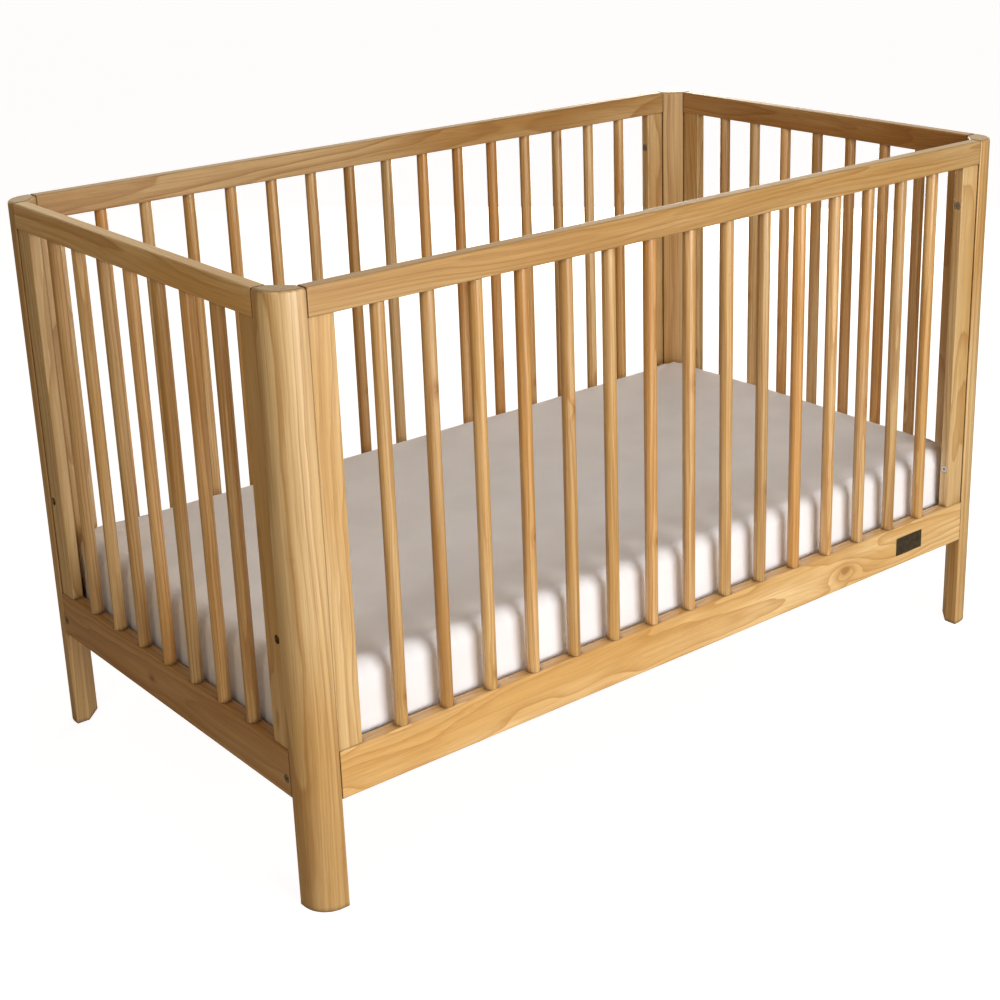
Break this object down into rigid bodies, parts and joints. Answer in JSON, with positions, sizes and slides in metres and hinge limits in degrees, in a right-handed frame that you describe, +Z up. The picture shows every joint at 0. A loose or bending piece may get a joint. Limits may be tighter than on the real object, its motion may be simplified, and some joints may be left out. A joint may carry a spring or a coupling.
{
  "type": "baby crib",
  "caption": "Wooden baby crib with round spindles between rails on all sides, rounded corner posts, a slatted base adjustable in height and a lift-out mattress in a fitted sheet.",
  "frame": {"origin": "on the floor, under the middle of the crib's outer box", "axes": "+X along the crib's length, from its left end to its right end as seen from the front; +Y across it, from the front panel to the back panel; +Z up"},
  "size_m": [1.363, 0.761, 0.85],
  "materials": {
    "post_wood": "clear satin lacquer on pine",
    "rail_wood": "clear satin lacquer on pine",
    "stile_wood": "clear satin lacquer on pine",
    "spindle_wood": "clear satin lacquer on pine",
    "base_wood": "planed pine",
    "slat_wood": "planed pine",
    "dowel_wood": "fluted beech",
    "bolt_steel": "zinc plated",
    "insert_steel": "zinc plated",
    "bracket_steel": "zinc plated",
    "screw_steel": "zinc plated",
    "badge_metal": "blank, brushed, dark",
    "mattress_cover": "woven ticking over foam",
    "sheet_fabric": "white woven cotton"
  },
  "bodies": {
    "frame": {"badge_plate": "badge_metal", "bottom_rail_back": "rail_wood", "bottom_rail_front": "rail_wood", "bottom_rail_left": "rail_wood", "bottom_rail_right": "rail_wood", "panel_bolts": "bolt_steel", "post_back_left": "post_wood", "post_back_right": "post_wood", "post_front_left": "post_wood", "post_front_right": "post_wood", "rail_dowels": "dowel_wood", "spindles_back": "spindle_wood", "spindles_front": "spindle_wood", "spindles_left": "spindle_wood", "spindles_right": "spindle_wood", "stile_back_left": "stile_wood", "stile_back_right": "stile_wood", "stile_dowels": "dowel_wood", "stile_front_left": "stile_wood", "stile_front_right": "stile_wood", "stile_left_back": "stile_wood", "stile_left_front": "stile_wood", "stile_right_back": "stile_wood", "stile_right_front": "stile_wood", "support_bolts": "bolt_steel", "support_pegs": "insert_steel", "threaded_inserts": "insert_steel", "top_rail_back": "rail_wood", "top_rail_front": "rail_wood", "top_rail_left": "rail_wood", "top_rail_right": "rail_wood"},
    "base": {"base_center_beam": "base_wood", "base_end_rail_left": "base_wood", "base_end_rail_right": "base_wood", "base_frame_screws": "screw_steel", "base_side_rail_back": "base_wood", "base_side_rail_front": "base_wood", "bracket_screws": "screw_steel", "hook_bracket_left_back": "bracket_steel", "hook_bracket_left_front": "bracket_steel", "hook_bracket_right_back": "bracket_steel", "hook_bracket_right_front": "bracket_steel", "slat_01": "slat_wood", "slat_02": "slat_wood", "slat_03": "slat_wood", "slat_04": "slat_wood", "slat_05": "slat_wood", "slat_06": "slat_wood", "slat_07": "slat_wood", "slat_08": "slat_wood", "slat_09": "slat_wood", "slat_10": "slat_wood", "slat_11": "slat_wood", "slat_12": "slat_wood", "slat_screws": "screw_steel"},
    "mattress": {"mattress": "mattress_cover", "fitted_sheet": "sheet_fabric"}
  },
  "joints": [
    {"name": "base_height", "type": "slide", "parent": "frame", "child": "base", "axis": [0, 0, 1], "range_m": [0, 0.2]},
    {"name": "mattress_lift", "type": "slide", "parent": "base", "child": "mattress", "axis": [0, 0, 1], "range_m": [0, 0.65]}
  ]
}
